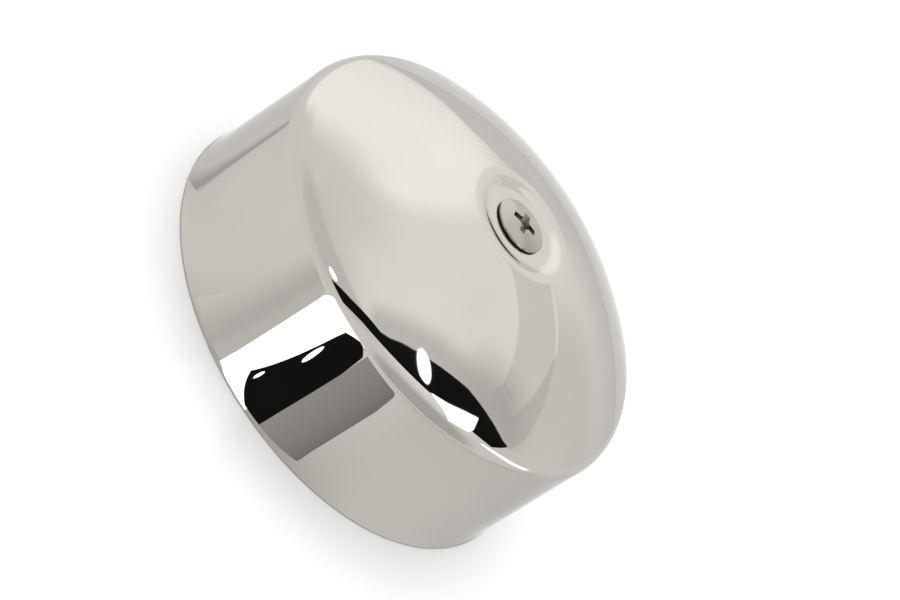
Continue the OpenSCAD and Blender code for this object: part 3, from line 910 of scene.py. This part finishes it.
# What the chrome mirrors. Directions are (azimuth, degrees from the zenith), and cards are in millimetres.
SKY, BRIGHT, BLACK = 1.14, 4.0, 0.012
soft_patch("overhead", (85, 22), 42, 40, 30, SKY * 1.23, FAR * 1.5)
soft_patch("window", (131, 64), 30, 23, 10, SKY * 1.50, FAR * 1.4)
soft_patch("window_left", (166, 52), 26, 7, 17, SKY * 1.05, FAR * 1.28)
soft_strip("horizon", [(85, 75), (101, 79), (108, 93), (125, 99), (150, 104)],
           8, 1.5, SKY * 1.02, FAR * 1.35)
soft_patch("left_shade", (-135, 48), 20, 24, 22, SKY * 0.85, FAR * 1.25)
soft_patch("right_shade", (-46, 78), 18, 22, 16, SKY * 0.64, FAR * 1.2)
soft_patch("right_dim", (35, 60), 16, 26, 16, SKY * 0.98, FAR * 1.45)
soft_patch("end_shade", (27, 37), 5, 1, 15, SKY * 0.72, FAR * 1.2, 0.8)
soft_strip("flag_shade", [(-100, 15), (-60, 9), (-20, 10), (8, 16), (18, 26), (23, 35), (27, 43)],
           1, 8, SKY * 0.84, FAR * 1.25)
soft_strip("side_band", [(24, 41), (35, 43.5), (46, 44.5), (60, 46), (73, 48), (88, 52)],
           14, 1.0, SKY * 0.5, FAR * 1.15, 0.30)
soft_strip("strip_lamp", [(-6, 60), (3, 70), (10, 80), (20, 90)], 2, 2, BRIGHT, FAR * 1.1)
panel("camera_side", [(-116, 72), (-107, 42), (-91, 16.5), (-40, 11.5), (17, 28), (25, 48),
                      (3, 58), (-13, 27), (-64, 31), (-92, 48), (-104, 72)], BLACK)
panel("lamp_far", [(-13, 25), (16, 36), (-9, 50), (-25, 54)], BRIGHT, FAR * 0.9)
soft_patch("lamp_near", (-13, 17.5), 4.5, 1.8, 0.5, BRIGHT, FAR * 0.9)
soft_patch("lamp_edge", (-119, 59), 6, 3, 0.5, BRIGHT, FAR * 0.9)
TABLE_NEAR, TABLE_FAR, TABLE_STEP, TABLE_STEPS, TABLE_FADE = 39.6, 400, 5, 22, 5
for name, start, tones in (("table_right", -75, [0.90, 0.84, 0.80, 0.78]),
                           ("table_left", -215, [1.02, 1.02, 0.98, 0.95])):
    angles = [math.radians(start + TABLE_STEP * k) for k in range(TABLE_STEPS + 1)]
    near, far = ([(r * math.cos(a), r * math.sin(a)) for a in angles] for r in (TABLE_NEAR, TABLE_FAR))
    fade = [min(1, k / TABLE_FADE, (TABLE_STEPS - k) / TABLE_FADE) for k in range(TABLE_STEPS + 1)]
    graded_card(name, near, far, SKY, tones, 0.05, fade)
graded_card("paper_fold", [(-20, -36), (-46, -68), (-85, -128)], [(-8.6, -40.4), (-18.3, -65), (-34, -100)],
            SKY, [1.0, 0.95, 0.88, 0.80, 0.76, 0.84, 0.86], 0.10)
graded_card("paper_edge", [(-35, -15), (-68, 6)], [(-37.9, -19), (-71, 2.3)],
            SKY, [1.0, 0.92, 0.82, 0.66, 0.66, 1.0], 0.10)
floor_card("white_card", [(-8.3, -40), (-22, -74), (-186, -600), (80, -600), (1, -40)], BRIGHT, 0.15)
graded_card("grey_card", [(4.4, -40.6), (11, -67), (27, -147)], [(14.6, -40.2), (31, -61), (47, -92)],
            SKY, [0.46, 0.43, 0.40, 0.35, 0.28], 0.15)
floor_card("black_card", [(-5.2, -46), (-3.2, -68), (33, -440), (52, -440), (11.2, -67), (4.5, -40.6),
                          (0.4, -40.6)], BLACK, 0.2)
OVAL_STEPS = 40
for name, centre, half_long, half_wide, turn in (("card_light_near", (-3.6, -47.6), 1.8, 0.35, 85),
                                                 ("card_light_far", (-1.4, -64.4), 4.0, 0.9, 86)):
    cos_turn, sin_turn = math.cos(math.radians(turn)), math.sin(math.radians(turn))
    angles = [TAU * k / OVAL_STEPS for k in range(OVAL_STEPS)]
    rim = [(half_long * math.cos(a), half_wide * math.sin(a)) for a in angles]
    floor_card(name, [(centre[0] + x * cos_turn - y * sin_turn, centre[1] + x * sin_turn + y * cos_turn)
                      for x, y in rim], BRIGHT, 0.25)

FLOOR_HALF = 4
floor_mesh = bpy.data.meshes.new("floor")
floor_mesh.from_pydata([(x * FLOOR_HALF, y * FLOOR_HALF, 0) for x, y in ((-1, -1), (1, -1), (1, 1), (-1, 1))],
                       [], [(0, 1, 2, 3)])
floor = bpy.data.objects.new("floor", floor_mesh)
bpy.context.collection.objects.link(floor)
floor.location.z = -0.05 * MM
floor_mesh.materials.append(plain("floor_paper", (0.9, 0.9, 0.9)))


def softbox(name, location, aim, size, power):
    light = bpy.data.objects.new(name, bpy.data.lights.new(name, "AREA"))
    bpy.context.collection.objects.link(light)
    light.data.shape = "SQUARE"
    light.data.size = size
    light.data.energy = power
    light.location = location
    light.rotation_mode = "QUATERNION"
    light.rotation_quaternion = (Vector(aim) - Vector(location)).to_track_quat("-Z", "Y")
    return light


softbox("key", (-0.2, 0.5, 0.95), (0, 0, 0), 0.8, 3.2).visible_glossy = False

world = bpy.data.worlds.new("studio")
bpy.context.scene.world = world
world.use_nodes = True
world.node_tree.nodes["Background"].inputs["Color"].default_value = (1, 1, 1, 1)
world.node_tree.nodes["Background"].inputs["Strength"].default_value = SKY
